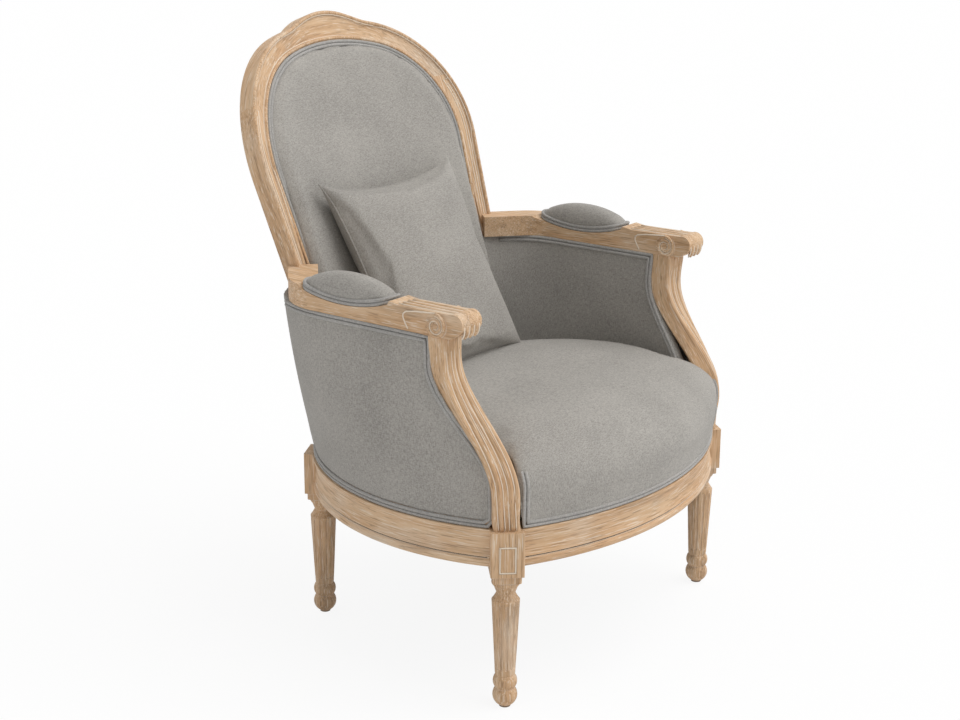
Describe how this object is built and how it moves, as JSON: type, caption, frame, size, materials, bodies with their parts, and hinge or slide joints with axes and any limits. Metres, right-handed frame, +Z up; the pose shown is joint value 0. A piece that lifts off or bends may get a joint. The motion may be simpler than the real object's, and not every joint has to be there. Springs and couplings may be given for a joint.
{
  "type": "upholstered armchair",
  "caption": "Closed-arm upholstered armchair with a round-topped wooden show frame, scrolled padded arms, turned fluted legs and a loose square pillow.",
  "frame": {"origin": "on the floor under the middle of the chair", "axes": "the chair faces -Y, +Z is up, +X is the sitter's left"},
  "size_m": [0.713, 0.7664, 1.0132],
  "materials": {
    "beech": "smooth",
    "black_cloth": "matt",
    "burlap": "coarse weave",
    "filling": "foam and wadding, matt",
    "frame_wood": "planed, unfinished",
    "glide_plastic": "moulded",
    "linen": "plain weave, matt",
    "oak": "limed and weathered, satin",
    "pillow_linen": "plain weave, matt",
    "steel": "drawn wire",
    "welt_linen": "plain weave over cord, matt"
  },
  "bodies": {
    "chair": {"arm_left": "oak", "arm_pad_cover_left": "linen", "arm_pad_cover_right": "linen", "arm_pad_foam_left": "filling", "arm_pad_foam_right": "filling", "arm_pad_welt_left": "welt_linen", "arm_pad_welt_right": "welt_linen", "arm_post_left": "oak", "arm_post_right": "oak", "arm_right": "oak", "back_cover": "linen", "back_cross_rail": "frame_wood", "back_foam": "filling", "back_post_left": "frame_wood", "back_post_right": "frame_wood", "back_rail": "oak", "back_stile_left": "oak", "back_stile_right": "oak", "back_welt": "welt_linen", "corner_blocks": "frame_wood", "corner_screws": "steel", "crest_rail": "oak", "dust_cover": "black_cloth", "foot_glides": "glide_plastic", "frame_dowels": "beech", "front_leg_left": "oak", "front_leg_right": "oak", "front_rail": "oak", "inner_arm_pad_left": "linen", "inner_arm_pad_right": "linen", "inner_arm_welt_left": "welt_linen", "inner_arm_welt_right": "welt_linen", "outer_arm_panel_left": "linen", "outer_arm_panel_right": "linen", "outer_arm_welt_left": "welt_linen", "outer_arm_welt_right": "welt_linen", "outside_back_panel": "linen", "outside_back_welt": "welt_linen", "rail_dowels": "beech", "rear_leg_left": "oak", "rear_leg_right": "oak", "seat_burlap": "burlap", "seat_cover": "linen", "seat_foam": "filling", "seat_springs": "steel", "seat_welt": "welt_linen", "side_rail_left": "oak", "side_rail_right": "oak", "spring_clips": "steel"},
    "pillow": {"pillow_cover": "pillow_linen", "pillow_insert": "filling"}
  },
  "joints": [
    {"name": "pillow_lift", "type": "slide", "parent": "chair", "child": "pillow", "axis": [0, 0, 1], "range_m": [0, 0.28]}
  ]
}
